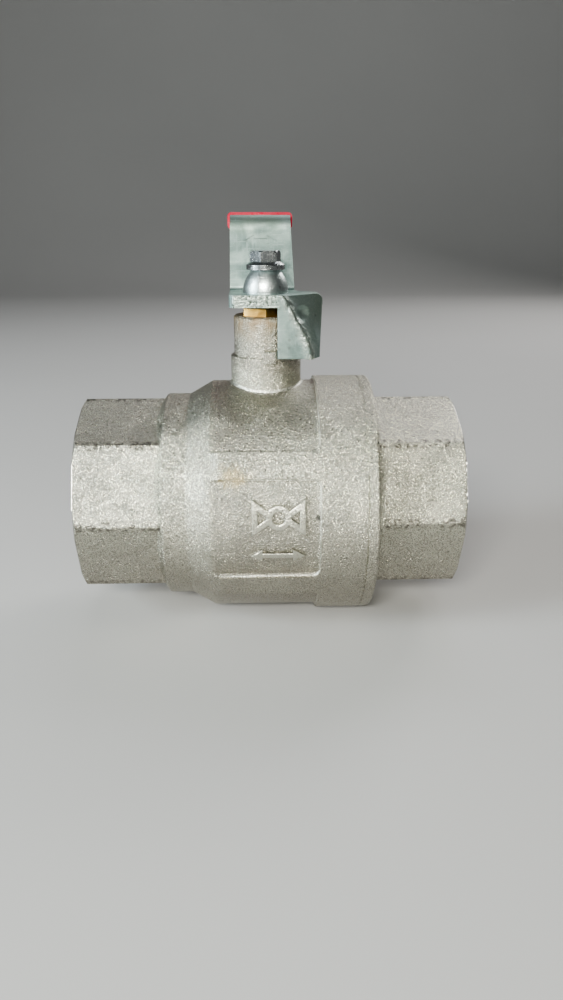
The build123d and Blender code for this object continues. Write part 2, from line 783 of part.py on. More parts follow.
print(f"face to face {outlet_x - inlet_x:.2f}, barrel diameter {2 * barrel_r:.2f}")
print(f"octagon across flats {2 * flat_r:.2f}, lever top {arm_top_z:.2f}")
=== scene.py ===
# %% [markdown]
# # A two-inch ball valve with a lever
#
# This lesson dresses a finished mechanical model: a nickel-plated ball valve, its steel lever and
# the red sleeve on the lever. The shapes that move or fit come from the CAD frame. Blender adds
# the finishes, the edges that a press and a forge leave behind, and the pipe threads.

# %% Load the frame
import json
from math import cos, exp, pi, radians, sin, tan

import bmesh
import bpy
from mathutils import Matrix, Vector, noise


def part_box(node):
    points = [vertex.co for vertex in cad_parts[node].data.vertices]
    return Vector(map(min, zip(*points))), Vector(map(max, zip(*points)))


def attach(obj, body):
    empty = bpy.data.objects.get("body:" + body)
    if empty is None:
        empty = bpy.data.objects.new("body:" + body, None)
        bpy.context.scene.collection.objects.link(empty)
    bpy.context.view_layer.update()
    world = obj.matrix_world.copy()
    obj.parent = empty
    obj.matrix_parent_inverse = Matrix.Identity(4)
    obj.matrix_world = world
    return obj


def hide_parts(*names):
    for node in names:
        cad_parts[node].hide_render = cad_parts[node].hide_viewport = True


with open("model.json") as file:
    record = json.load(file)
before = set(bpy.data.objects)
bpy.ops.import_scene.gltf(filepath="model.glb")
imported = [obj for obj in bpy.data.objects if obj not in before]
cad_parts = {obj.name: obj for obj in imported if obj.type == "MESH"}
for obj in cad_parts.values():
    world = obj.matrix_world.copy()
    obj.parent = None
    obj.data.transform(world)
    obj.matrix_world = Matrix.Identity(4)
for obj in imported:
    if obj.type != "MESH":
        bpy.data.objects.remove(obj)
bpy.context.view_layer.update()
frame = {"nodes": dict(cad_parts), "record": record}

MM = 0.001
scene = bpy.context.scene

# %% [markdown]
# ## The camera
#
# The valve is looked at from in front and a little above, close enough that the near octagon end
# looks larger than it would from far away. A camera's angle and its distance together set that
# look, so the camera is placed by its real distance in front of the ball's centre, its height and
# its downward tilt. The whole view is turned slightly round the stem.

# %% Camera
view_turn = radians(2.0)
view_tilt = radians(19.4)
half_view_angle = 0.5603
camera_place = Vector((5.85, -300, 102)) * MM
turn_round_stem = Matrix.Rotation(-view_turn, 3, "Z")

camera_data = bpy.data.cameras.new("camera")
camera_data.sensor_fit = "VERTICAL"
camera_data.angle = 2 * half_view_angle
camera_data.clip_start = 0.01
camera = bpy.data.objects.new("camera", camera_data)
scene.collection.objects.link(camera)
camera.rotation_euler = (pi / 2 - view_tilt, 0, -view_turn)
camera.location = turn_round_stem @ camera_place
scene.camera = camera
print("camera at", [round(v, 3) for v in camera.location])

# %% [markdown]
# ## The floor
#
# The floor is a pale sheet that runs up behind the valve like a studio's paper sweep, so that the
# floor and the wall meet softly. It only needs a profile and one extrusion.

# %% Floor
floor_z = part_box("valve_body")[0].z


def new_piece(name, bm):
    """Turn a finished bmesh into an object at the origin, smooth-shaded."""
    mesh = bpy.data.meshes.new(name)
    bm.to_mesh(mesh)
    bm.free()
    for face in mesh.polygons:
        face.use_smooth = True
    piece = bpy.data.objects.new(name, mesh)
    scene.collection.objects.link(piece)
    return piece


def paper_sweep(name, width, front, back, height, curve, curve_steps=12):
    """A floor that turns up into a backdrop: a profile in Y and Z, extruded along X."""
    bm = bmesh.new()
    profile = [(front, 0.0)]
    for step in range(curve_steps + 1):
        angle = pi / 2 * step / curve_steps
        profile.append((back - curve + curve * sin(angle), curve - curve * cos(angle)))
    profile.append((back, height))
    row = [bm.verts.new((-width / 2, y, floor_z + z)) for y, z in profile]
    edges = [bm.edges.new(pair) for pair in zip(row, row[1:])]
    made = bmesh.ops.extrude_edge_only(bm, edges=edges)
    moved = [v for v in made["geom"] if isinstance(v, bmesh.types.BMVert)]
    bmesh.ops.translate(bm, verts=moved, vec=(width, 0, 0))
    bmesh.ops.recalc_face_normals(bm, faces=bm.faces)
    return new_piece(name, bm)


floor = paper_sweep("paper_sweep", width=6.0, front=-2.5, back=2.2, height=2.5, curve=0.8)
print("floor at", round(floor_z, 4))

# %% [markdown]
# ## The light
#
# Plated metal shows mostly what it mirrors, so the lights are wide soft boxes and not small lamps.
# A low box in front draws the highlight along the barrel, and a cooler one on the left lights the
# slanted faces. Two weaker boxes, above and behind, lift the lever and the far side. A dim grey
# world fills in what no box reaches.

# %% Lights
light_aim = Vector((0, 0, 0.02))


def soft_light(name, place, size, power, colour):
    """A rectangular soft box that faces the valve."""
    data = bpy.data.lights.new(name, "AREA")
    data.shape = "RECTANGLE"
    data.size, data.size_y = size
    data.energy = power
    data.color = colour
    light = bpy.data.objects.new(name, data)
    scene.collection.objects.link(light)
    light.location = place
    light.rotation_euler = (Vector(place) - light_aim).to_track_quat("Z", "Y").to_euler()
    return light


lights = [
    soft_light("front_box", (-0.20, -1.0, 0.50), (0.45, 0.16), 15, (1.0, 0.99, 0.90)),
    soft_light("left_box", (-1.0, -0.40, 0.36), (0.30, 0.60), 14, (0.84, 0.95, 1.0)),
    soft_light("top_box", (0.15, 0.70, 0.9), (0.6, 0.3), 2.5, (0.95, 0.96, 1.0)),
    soft_light("back_box", (0.80, 1.00, 0.70), (0.5, 0.4), 6, (1.0, 0.98, 0.95)),
]

world = bpy.data.worlds.new("studio")
scene.world = world
world.use_nodes = True
background = world.node_tree.nodes["Background"]
background.inputs["Color"].default_value = (0.80, 0.80, 0.82, 1)
background.inputs["Strength"].default_value = 0.075
scene.view_settings.look = "AgX - Medium High Contrast"
print("lights:", len(lights), "boxes")

# %% [markdown]
# ## Short words for shader nodes
#
# A material is a graph of nodes. Writing each node and link by hand takes many lines, so these
# helpers place one node, feed its sockets with a number, a colour or another node's output, and
# hand back the output that the next step needs.

# %% Node helpers


def feed(tree, socket, value):
    """Link a socket to another node's output, or set it to a plain value."""
    if isinstance(value, bpy.types.NodeSocket):
        tree.links.new(value, socket)
    else:
        socket.default_value = value


def maths(tree, operation, *values):
    """One Math node, with a value for each of its sockets."""
    node = tree.nodes.new("ShaderNodeMath")
    node.operation = operation
    for socket, value in zip(node.inputs, values):
        feed(tree, socket, value)
    return node.outputs[0]


def times(tree, first, *others):
    """Values multiplied together. Of masks, it is where all of them are."""
    for other in others:
        first = maths(tree, "MULTIPLY", first, other)
    return first


def plus(tree, first, *others):
    """Values added together."""
    for other in others:
        first = maths(tree, "ADD", first, other)
    return first


def most(tree, first, *others):
    """The highest of several values. Of masks, it is where any of them is."""
    for other in others:
        first = maths(tree, "MAXIMUM", first, other)
    return first


def ramp(tree, value, low, high, start=0.0, end=1.0):
    """Turn low..high into start..end with a soft S curve, and hold it outside."""
    node = tree.nodes.new("ShaderNodeMapRange")
    node.interpolation_type = "SMOOTHSTEP"
    for label, number in (("From Min", low), ("From Max", high), ("To Min", start), ("To Max", end)):
        node.inputs[label].default_value = number
    feed(tree, node.inputs["Value"], value)
    return node.outputs["Result"]


def mix(tree, amount, first, second):
    """Blend two colours."""
    node = tree.nodes.new("ShaderNodeMix")
    node.data_type = "RGBA"
    feed(tree, node.inputs[0], amount)
    feed(tree, node.inputs[6], first)
    feed(tree, node.inputs[7], second)
    return node.outputs[2]


def coated(tree, colour, *coats):
    """Lay (amount, colour) coats over a colour, one after another."""
    for amount, coat in coats:
        colour = mix(tree, amount, colour, coat)
    return colour


print("node helpers ready")

# %% Pattern helpers


def noise_at(tree, place, scale, detail=2.0, stretch=None, warp=0.0):
    """Cloudy noise; stretch squeezes the pattern along X, Y and Z."""
    if stretch:
        mapping = tree.nodes.new("ShaderNodeMapping")
        feed(tree, mapping.inputs["Vector"], place)
        mapping.inputs["Scale"].default_value = stretch
        place = mapping.outputs[0]
    node = tree.nodes.new("ShaderNodeTexNoise")
    feed(tree, node.inputs["Vector"], place)
    feed(tree, node.inputs["Scale"], scale)
    node.inputs["Detail"].default_value = detail
    node.inputs["Distortion"].default_value = warp
    return node.outputs[0]


def cells_at(tree, place, scale):
    """Distance to the nearest of many scattered points, and that point's own random grey."""
    node = tree.nodes.new("ShaderNodeTexVoronoi")
    feed(tree, node.inputs["Vector"], place)
    feed(tree, node.inputs["Scale"], scale)
    return node.outputs["Distance"], node.outputs["Color"]


def spots_at(tree, place, scale, reach, chance, uneven=0.0, uneven_scale=0.0):
    """Spots on some of many scattered points. reach is how far each goes, and chance how many show."""
    distance, grey = cells_at(tree, place, scale)
    if uneven:
        distance = plus(tree, distance, times(tree, noise_at(tree, place, uneven_scale, 2.0), uneven))
    return times(tree, ramp(tree, distance, *reach), ramp(tree, grey, *chance))


def object_place(tree):
    """The point's own place in the shared frame, in metres."""
    return tree.nodes.new("ShaderNodeTexCoord").outputs["Object"]


def split(tree, vector):
    """A vector's X, Y and Z."""
    node = tree.nodes.new("ShaderNodeSeparateXYZ")
    feed(tree, node.inputs[0], vector)
    return node.outputs


def round_axis(tree, first, second):
    """Distance from an axis, given the two coordinates across it."""
    squares = [times(tree, v, v) for v in (first, second)]
    return maths(tree, "SQRT", plus(tree, *squares))


print("pattern helpers ready")

# %% Material and group helpers


def new_material(name, metallic, colour, roughness):
    """A material with its own shader, and plain values that the builder replaces where they vary."""
    material = bpy.data.materials.new(name)
    material.use_nodes = True
    tree = material.node_tree
    shader = tree.nodes["Principled BSDF"]
    shader.inputs["Metallic"].default_value = metallic
    shader.inputs["Base Color"].default_value = (*colour, 1)
    shader.inputs["Roughness"].default_value = roughness
    material.diffuse_color = (*colour, 1)
    return material, tree, shader


def bump(tree, shader, height, distance):
    """Let a height pattern, this many metres deep, tilt the surface."""
    node = tree.nodes.new("ShaderNodeBump")
    node.inputs["Strength"].default_value = 1.0
    node.inputs["Distance"].default_value = distance
    feed(tree, node.inputs["Height"], height)
    tree.links.new(node.outputs[0], shader.inputs["Normal"])


def new_group(name, inputs, outputs):
    """An empty node group: inputs are (name, number) pairs, outputs are names of grey values."""
    group = bpy.data.node_groups.new(name, "ShaderNodeTree")
    for label, value in inputs:
        socket = group.interface.new_socket(label, in_out="INPUT", socket_type="NodeSocketFloat")
        socket.default_value = value
    for label in outputs:
        group.interface.new_socket(label, in_out="OUTPUT", socket_type="NodeSocketFloat")
    return group, group.nodes.new("NodeGroupInput").outputs, group.nodes.new("NodeGroupOutput").inputs


def use_group(tree, group, **values):
    """Place a node group in a material with its own values."""
    node = tree.nodes.new("ShaderNodeGroup")
    node.node_tree = group
    for label, value in values.items():
        feed(tree, node.inputs[label.replace("_", " ")], value)
    return node.outputs


print("material and group helpers ready")

# %% [markdown]
# ## The blasted skin of a forging
#
# The body is hot-forged brass that was shot-blasted and then nickel plated. Blasting leaves
# thousands of dents about half a millimetre across, and each dent mirrors the light its own way,
# so the surface glitters. Scattered cells make the dents round and a noise over them makes them
# uneven. Larger cells make the deeper pits and a few knocks, and a slow noise makes the plating
# cloudy. All of it is one node group, because the body, the end cap and their threads share it.

# %% Group: blasted skin
patches_per_metre = 120.0
pits_per_metre = 620.0
knocks_per_metre = 95.0
clouds_per_metre = 38.0

blasted, given, gives = new_group(
    "blasted_skin", [("Grains per metre", 1500.0)], ["Height", "Grain", "Pits", "Knocks", "Cloud"]
)
place = object_place(blasted)
grains = given["Grains per metre"]
dents = cells_at(blasted, place, times(blasted, grains, 0.9))[0]
grain = noise_at(blasted, place, grains, 3.0, warp=0.4)
rough_patch = ramp(blasted, noise_at(blasted, place, patches_per_metre, 2.0), 0.40, 0.60, 0.80, 1.10)
pits = spots_at(blasted, place, pits_per_metre, (0.33, 0.24), (0.66, 0.74), 0.30, 2600.0)
knocks = spots_at(blasted, place, knocks_per_metre, (0.17, 0.12), (0.70, 0.74), 0.16, 700.0)
height = times(blasted, plus(blasted, times(blasted, dents, 0.45), grain), rough_patch)
height = plus(blasted, height, times(blasted, pits, -0.35), times(blasted, knocks, -0.8))

feed(blasted, gives["Height"], height)
feed(blasted, gives["Grain"], grain)
feed(blasted, gives["Pits"], pits)
feed(blasted, gives["Knocks"], knocks)
feed(blasted, gives["Cloud"], noise_at(blasted, place, clouds_per_metre, 4.0, warp=0.6))
print("blasted skin:", len(blasted.nodes), "nodes")

# %% [markdown]
# ## Marks of the lathe and of handling
#
# Turned faces carry fine rings round their axis. The rings are a sine of the distance from the
# axis, or along it, broken up by a little noise. Handled zinc and brass carry smudges, small dark
# spots and hair scratches in all directions. The hairs are noises squeezed in one direction each.

# %% Group: turning rings
turned, given, gives = new_group(
    "turning_rings", [("Distance", 0.0), ("Rings per metre", 2500.0)], ["Height"]
)
wobble = noise_at(turned, object_place(turned), 300.0, 1.0)
phase = times(turned, given["Distance"], times(turned, given["Rings per metre"], 2 * pi))
wave = maths(turned, "SINE", plus(turned, phase, times(turned, wobble, 9.0)))
feed(turned, gives["Height"], plus(turned, times(turned, wave, 0.5), 0.5))
print("turning rings:", len(turned.nodes), "nodes")

# %% Group: handling
hair_stretches = ((2600, 2600, 90), (110, 1900, 2300), (2100, 140, 2500))

handled, given, gives = new_group("handling", [("Scratches", 1.0)], ["Scratch", "Smudge", "Spots"])
place = object_place(handled)
hairs = [
    ramp(handled, noise_at(handled, place, 1.0, 1.0, stretch), 0.62, 0.70) for stretch in hair_stretches
]
feed(handled, gives["Scratch"], times(handled, most(handled, *hairs), given["Scratches"]))
feed(handled, gives["Smudge"], noise_at(handled, place, 130.0, 4.0, warp=1.2))
feed(handled, gives["Spots"], spots_at(handled, place, 330.0, (0.26, 0.10), (0.60, 0.68)))
print("handling:", len(handled.nodes), "nodes")

# %% [markdown]
# ## Nickel plate on the forging
#
# The plating is a warm pale grey. It is cloudy, darker in the pits, brown round the top of the neck
# where the gland weeps, and yellowish where water dried on the shoulder. It is darkened towards the
# bottom as painted shade, and the upper neck is darkened too. The panels' rims and the stops are
# painted bright, partly as rubbing and partly as painted highlight, the panel floors are darkened as
# dirt and painted shade, the walls of the raised marks carry painted shade, and the octagons'
# corners are nicked. The sockets and the end faces were cut after blasting, so there the grains give
# way to turning rings. Each of these is a mask worked out from the place on the body: along the
# pipe, up the neck, or round one of the two axes.

# %% Places on the body
inlet_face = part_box("valve_body")[0].x
outlet_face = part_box("end_cap")[1].x
neck_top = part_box("valve_body")[1].z
barrel_radius = -floor_z
panel_radius = barrel_radius - 1.6 * MM
panel_start = -19.0 * MM
panel_end = 20.0 * MM
socket_radius = 30.2 * MM
socket_floor = 36.0 * MM
octagon_corner = 35.0 * MM / cos(pi / 8)
marks_x = (-7.5 * MM, 14.0 * MM)
marks_z = (-13.5 * MM, 13.5 * MM)
stain_x = -12.0 * MM
stain_z = 19.0 * MM


def inside(tree, value, low, high, soft=0.4 * MM):
    """1 between two places and 0 outside them, with soft ends."""
    return times(tree, ramp(tree, value, low, low + soft), ramp(tree, value, high, high - soft))


print("octagon corners at", round(octagon_corner, 4), "panels at", round(panel_radius, 4))

# %% Where the body was cut, and where rubbing and painted highlight brighten it


def cut_faces(tree, x, pipe_radius):
    """The sockets and the end faces, which were turned after blasting."""
    from_middle = maths(tree, "ABSOLUTE", x)
    in_socket = ramp(tree, pipe_radius, socket_radius + 1.6 * MM, socket_radius + 0.8 * MM)
    in_socket = times(tree, in_socket, ramp(tree, from_middle, socket_floor, socket_floor + 2 * MM))
    near_inlet = ramp(tree, x, inlet_face + 0.3 * MM, inlet_face + 0.1 * MM)
    near_outlet = ramp(tree, x, outlet_face - 0.3 * MM, outlet_face - 0.1 * MM)
    return most(tree, in_socket, near_inlet, near_outlet)


def raised_marks(tree, x, y, z, pipe_radius):
    """The patch of the front panel that holds the raised marks, and the marks' own tops."""
    patch = times(tree, inside(tree, x, *marks_x), inside(tree, z, *marks_z))
    patch = times(tree, patch, ramp(tree, y, 0.0, -10 * MM))
    tops = ramp(tree, pipe_radius, panel_radius + 0.9 * MM, panel_radius + 1.1 * MM)
    return patch, times(tree, patch, tops)


def rubbed_and_highlit(tree, x, z, pipe_radius, stem_radius):
    """The rims of the panels and the two stops on the neck, bright from rubbing in part and from painted
    highlight in part.
    """
    # The rims and the stops are painted bright: rubbing in part, painted highlight in part.
    rims = inside(tree, pipe_radius, panel_radius + 0.3 * MM, barrel_radius - 0.2 * MM, 0.2 * MM)
    rims = times(tree, rims, inside(tree, x, panel_start + 3.5 * MM, panel_end + 1.5 * MM), 0.8)
    stops = ramp(tree, stem_radius, 15.8 * MM, 16.4 * MM)
    stops = times(tree, stops, ramp(tree, z, 52 * MM, 54 * MM))
    return most(tree, rims, stops)


def nicked_corners(tree, place, pipe_radius, stem_radius):
    """The corners of both octagons, nicked by wrenches."""
    low, high = octagon_corner - 1.0 * MM, octagon_corner + 0.6 * MM
    corners = inside(tree, pipe_radius, low, high, 0.5 * MM)
    corners = times(tree, corners, ramp(tree, stem_radius, 40 * MM, 44 * MM))
    return times(tree, corners, ramp(tree, noise_at(tree, place, 650.0, 3.0), 0.50, 0.58))


print("masks of the cut and rubbed places ready")

# %% Where the body is soiled and given painted shade


def panel_floors(tree, x, pipe_radius):
    """The lowered panels round the barrel, darkened as dirt and painted shade."""
    lowered = ramp(tree, pipe_radius, panel_radius + 0.8 * MM, panel_radius + 0.2 * MM)
    return times(tree, lowered, inside(tree, x, panel_start, panel_end))


def gland_weep(tree, place, z, stem_radius):
    """Patches round the top of the neck, where the gland weeps."""
    band = ramp(tree, z, neck_top - 11 * MM, neck_top - 1 * MM)
    band = times(tree, band, ramp(tree, stem_radius, 13.5 * MM, 12.5 * MM))
    return times(tree, band, ramp(tree, noise_at(tree, place, 260.0, 3.0), 0.34, 0.66, 0.25, 0.85))


def water_stain(tree, place, x, y, z):
    """One ragged spot on the front of the shoulder, where water dried."""
    across = maths(tree, "SUBTRACT", x, stain_x)
    up = times(tree, maths(tree, "SUBTRACT", z, stain_z), 1.4)
    ragged = times(tree, noise_at(tree, place, 420.0, 3.0), 10 * MM)
    spread = plus(tree, round_axis(tree, across, up), ragged)
    spot = ramp(tree, spread, 12.5 * MM, 6.5 * MM, 0.0, 0.75)
    return times(tree, spot, ramp(tree, y, 0.0, -20 * MM))


print("masks of the soiled places ready")

# %% Material: nickel-plated forging
plating_warm = (0.64, 0.625, 0.525, 1)
plating_pale = (0.76, 0.755, 0.625, 1)
plating_cut = (0.67, 0.655, 0.61, 1)
plating_rubbed_highlit = (0.88, 0.88, 0.80, 1)
mark_tops = (0.80, 0.80, 0.69, 1)
mark_side_shade = (0.10, 0.095, 0.08, 1)
grain_shadow = (0.17, 0.162, 0.15, 1)
panel_grime_and_shade = (0.27, 0.255, 0.23, 1)
nick_shadow = (0.15, 0.14, 0.12, 1)
underside_shade_neck_dark = (0.29, 0.255, 0.225, 1)
weep_brown = (0.40, 0.30, 0.19, 1)
water_yellow = (0.60, 0.50, 0.30, 1)
pit_shadow = (0.15, 0.14, 0.115, 1)
knock_shadow = (0.17, 0.165, 0.15, 1)


def forged_nickel():
    """The skin, the rubbing, the painted highlight and shade, the stains and the cut faces, laid over one
    another in that order.
    """
    material, tree, shader = new_material("nickel_plated_brass", 1.0, (0.62, 0.59, 0.53), 0.4)
    skin = use_group(tree, blasted, Grains_per_metre=2000.0)
    place = object_place(tree)
    x, y, z = split(tree, place)
    pipe_radius = round_axis(tree, y, z)
    stem_radius = round_axis(tree, x, y)

    cut = cut_faces(tree, x, pipe_radius)
    in_marks, tops = raised_marks(tree, x, y, z, pipe_radius)
    rubbed_highlit = rubbed_and_highlit(tree, x, z, pipe_radius, stem_radius)
    weep = gland_weep(tree, place, z, stem_radius)
    # Painted shade: darker towards the bottom. The upper neck is darkened as well.
    underside_shade = ramp(tree, z, 10 * MM, -36 * MM, 0.0, 0.55)
    neck_darkening = ramp(tree, z, 46 * MM, 52 * MM, 0.0, 0.45)

    colour = mix(tree, ramp(tree, skin["Cloud"], 0.30, 0.72), plating_warm, plating_pale)
    colour = mix(tree, ramp(tree, skin["Grain"], 0.38, 0.56, 0.26, 1.0), grain_shadow, colour)
    colour = coated(
        tree,
        colour,
        # Panel floors darkened: dirt and painted shade.
        (times(tree, panel_floors(tree, x, pipe_radius), 0.30), panel_grime_and_shade),
        # The walls of the raised marks get painted shade; the rims and stops elsewhere get painted
        # highlight and rubbing.
        (rubbed_highlit, mix(tree, in_marks, plating_rubbed_highlit, mark_side_shade)),
        (times(tree, tops, 0.8), mark_tops),
        (times(tree, nicked_corners(tree, place, pipe_radius, stem_radius), 0.8), nick_shadow),
        # Painted shade towards the bottom, and the darkened upper neck.
        (most(tree, underside_shade, neck_darkening), underside_shade_neck_dark),
        (weep, weep_brown),
        (water_stain(tree, place, x, y, z), water_yellow),
        (times(tree, skin["Pits"], 0.7), pit_shadow),
        (times(tree, skin["Knocks"], 0.8), knock_shadow),
        (cut, plating_cut),
    )
    feed(tree, shader.inputs["Base Color"], colour)

    rough = plus(tree, ramp(tree, skin["Grain"], 0.3, 0.7, 0.40, 0.20), times(tree, weep, 0.25))
    rough = most(tree, rough, times(tree, skin["Pits"], 0.7))
    feed(tree, shader.inputs["Roughness"], plus(tree, rough, times(tree, cut, -0.14)))

    rings = use_group(tree, turned, Distance=plus(tree, pipe_radius, x), Rings_per_metre=2600.0)
    uncut = maths(tree, "SUBTRACT", 1.0, cut)
    smoothed = most(tree, times(tree, tops, 0.7), times(tree, rubbed_highlit, 0.5))
    grainy = times(tree, uncut, maths(tree, "SUBTRACT", 1.0, smoothed))
    height = plus(tree, times(tree, skin["Height"], grainy), times(tree, rings["Height"], cut, 0.05))
    bump(tree, shader, height, 0.44 * MM)
    return material


nickel = forged_nickel()
print("nickel:", len(nickel.node_tree.nodes), "nodes")

# %% [markdown]
# ## Zinc on pressed steel
#
# The lever is stamped from 4 mm strip and zinc plated. Zinc is bluish green-grey, blotched where
# the bath dried, and it keeps handling scratches. The sheared edges are rougher and brighter, with
# short tears. The sheared front of the plate is found by its place. The rounded edges and the ear's
# ridge are marked on the mesh itself, as an attribute for edge rubbing and highlight, when they are
# made, and the shader reads that: bare steel from rubbing on the edges, and on the ridge a painted
# highlight as well.

# %% Material: zinc-plated lever
plate_front = -13.0 * MM
plate_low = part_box("gland_nut")[1].z
ear_left = 4.0 * MM
zinc_dark = (0.20, 0.265, 0.25, 1)
zinc_light = (0.33, 0.41, 0.385, 1)
zinc_dried = (0.45, 0.53, 0.53, 1)
zinc_green = (0.27, 0.34, 0.27, 1)
zinc_scratch = (0.62, 0.68, 0.67, 1)
zinc_spot = (0.16, 0.18, 0.17, 1)
bare_steel_and_highlight = (0.47, 0.53, 0.48, 1)
steel_torn = (0.10, 0.12, 0.10, 1)


def edge_wear_and_highlight(tree):
    """What the rounded edges and the ear's ridge carry on the mesh: rubbing, and on the ridge a painted
    highlight.
    """
    node = tree.nodes.new("ShaderNodeAttribute")
    node.attribute_name = "edge_wear_and_highlight"
    return node.outputs["Fac"]


def sheared_front(tree, x, y, z):
    """The front edge of the plate, left of the ear, which the press sheared."""
    front = ramp(tree, y, plate_front + 0.6 * MM, plate_front + 0.3 * MM)
    above = ramp(tree, z, plate_low, plate_low + 0.5 * MM)
    return times(tree, front, above, ramp(tree, x, ear_left + 2 * MM, ear_left - 1 * MM))


def pressed_zinc():
    """Blotched zinc with scratches and spots, bare and torn at the sheared edges."""
    material, tree, shader = new_material("zinc_plated_steel", 1.0, (0.30, 0.37, 0.35), 0.42)
    marks = use_group(tree, handled, Scratches=1.0)
    place = object_place(tree)
    x, y, z = split(tree, place)
    blotch = noise_at(tree, place, 75.0, 4.0, warp=1.5)
    drip = noise_at(tree, place, 60.0, 3.0, (3, 3, 1))
    torn = noise_at(tree, place, 1000.0, 3.0)
    sheared = sheared_front(tree, x, y, z)
    edges = most(tree, edge_wear_and_highlight(tree), sheared)
    worn_and_highlit = times(tree, edges, ramp(tree, torn, 0.38, 0.56, 0.25, 1.0))

    colour = coated(
        tree,
        mix(tree, ramp(tree, blotch, 0.34, 0.64), zinc_dark, zinc_light),
        (ramp(tree, drip, 0.54, 0.70, 0.0, 0.5), zinc_dried),
        (ramp(tree, noise_at(tree, place, 34.0, 2.0), 0.52, 0.66, 0.0, 0.5), zinc_green),
        (times(tree, marks["Scratch"], 0.16), zinc_scratch),
        (times(tree, marks["Spots"], 0.5), zinc_spot),
        # Bright bare steel on edges from rubbing, and a painted highlight on the ear's ridge.
        (worn_and_highlit, bare_steel_and_highlight),
        (times(tree, sheared, ramp(tree, torn, 0.44, 0.36)), steel_torn),
    )
    feed(tree, shader.inputs["Base Color"], colour)

    rough = plus(tree, ramp(tree, blotch, 0.3, 0.7, 0.60, 0.46), times(tree, marks["Smudge"], 0.10))
    feed(tree, shader.inputs["Roughness"], plus(tree, rough, times(tree, worn_and_highlit, -0.20)))

    grain = times(tree, noise_at(tree, place, 700.0, 3.0), 0.4)
    height = plus(tree, grain, times(tree, marks["Scratch"], -0.08), times(tree, torn, edges, 3.0))
    bump(tree, shader, height, 0.10 * MM)
    return material


lever_zinc = pressed_zinc()
print("lever zinc:", len(lever_zinc.node_tree.nodes), "nodes")

# %% Material: zinc on the dome and the screw
dome_light = (0.80, 0.88, 0.87, 1)
dome_dark = (0.58, 0.66, 0.65, 1)
screw_light = (0.58, 0.62, 0.62, 1)
screw_dark = (0.28, 0.30, 0.31, 1)
fastener_spot = (0.20, 0.21, 0.21, 1)
fastener_scratch = (0.84, 0.87, 0.87, 1)
fastener_edge = (0.86, 0.88, 0.87, 1)


def bright_zinc(name, light, dark, roughness):
    """Zinc on small turned or pressed fasteners: brighter, with smudges and scratches."""
    material, tree, shader = new_material(name, 1.0, light[:3], roughness)
    marks = use_group(tree, handled, Scratches=1.0)
    colour = coated(
        tree,
        mix(tree, ramp(tree, marks["Smudge"], 0.38, 0.62), dark, light),
        (times(tree, marks["Spots"], 0.5), fastener_spot),
        (times(tree, marks["Scratch"], 0.5), fastener_scratch),
        (times(tree, edge_wear_and_highlight(tree), 0.5), fastener_edge),
    )
    feed(tree, shader.inputs["Base Color"], colour)
    wiped = ramp(tree, marks["Smudge"], 0.3, 0.7, roughness + 0.12, roughness - 0.03)
    feed(tree, shader.inputs["Roughness"], wiped)
    grain = noise_at(tree, object_place(tree), 700.0, 3.0)
    bump(tree, shader, plus(tree, grain, times(tree, marks["Scratch"], -0.3)), 0.05 * MM)
    return material


dome_zinc = bright_zinc("bright_zinc", dome_light, dome_dark, 0.30)
screw_zinc = bright_zinc("zinc_screw", screw_light, screw_dark, 0.22)
print("dome and screw zinc:", len(dome_zinc.node_tree.nodes), "nodes each")

# %% [markdown]
# ## Brass, chrome, vinyl, PTFE and rubber
#
# The gland and the stem are plain turned brass with lathe rings. The ball is polished and hard
# chromed. The sleeve was dipped in liquid vinyl, which leaves a gloss with a faint orange peel.
# The seats and the packing are PTFE, waxy and white, and the o-rings are black rubber.

# %% Material: turned brass
brass_dark = (0.30, 0.17, 0.05, 1)
brass_light = (0.62, 0.39, 0.12, 1)
brass_tarnish = (0.20, 0.12, 0.05, 1)


def turned_brass():
    """Smudged and tarnished brass, with lathe rings round the stem's axis."""
    material, tree, shader = new_material("bare_brass", 1.0, (0.66, 0.44, 0.15), 0.28)
    marks = use_group(tree, handled, Scratches=0.7)
    place = object_place(tree)
    x, y, z = split(tree, place)
    tarnish = ramp(tree, noise_at(tree, place, 180.0, 4.0), 0.56, 0.74, 0.0, 0.6)
    smudged = ramp(tree, marks["Smudge"], 0.35, 0.65)
    colour = coated(tree, mix(tree, smudged, brass_dark, brass_light), (tarnish, brass_tarnish))
    feed(tree, shader.inputs["Base Color"], colour)
    feed(tree, shader.inputs["Roughness"], ramp(tree, marks["Smudge"], 0.3, 0.7, 0.46, 0.32))
    distance = plus(tree, round_axis(tree, x, y), z)
    rings = use_group(tree, turned, Distance=distance, Rings_per_metre=3200.0)
    height = plus(tree, times(tree, rings["Height"], 0.5), times(tree, marks["Scratch"], -0.6))
    bump(tree, shader, height, 0.03 * MM)
    return material


brass = turned_brass()
print("brass:", len(brass.node_tree.nodes), "nodes")

# %% Material: hard chrome
chrome_clean = (0.83, 0.84, 0.85, 1)
chrome_smudged = (0.70, 0.71, 0.72, 1)


def hard_chrome():
    """Polished chrome, dulled a little by smudges and hair scratches."""
    material, tree, shader = new_material("chromed_ball", 1.0, (0.80, 0.81, 0.82), 0.07)
    marks = use_group(tree, handled, Scratches=0.6)
    smudged = ramp(tree, marks["Smudge"], 0.4, 0.7)
    feed(tree, shader.inputs["Base Color"], mix(tree, smudged, chrome_clean, chrome_smudged))
    wiped = ramp(tree, marks["Smudge"], 0.4, 0.7, 0.05, 0.12)
    feed(tree, shader.inputs["Roughness"], plus(tree, wiped, times(tree, marks["Scratch"], 0.10)))
    bump(tree, shader, marks["Scratch"], 0.004 * MM)
    return material


chrome = hard_chrome()
print("chrome:", len(chrome.node_tree.nodes), "nodes")

# %% Material: dipped vinyl
vinyl_dark = (0.42, 0.008, 0.035, 1)
vinyl_light = (0.58, 0.016, 0.055, 1)
vinyl_scratch = (0.72, 0.12, 0.15, 1)
vinyl_spot = (0.24, 0.02, 0.03, 1)


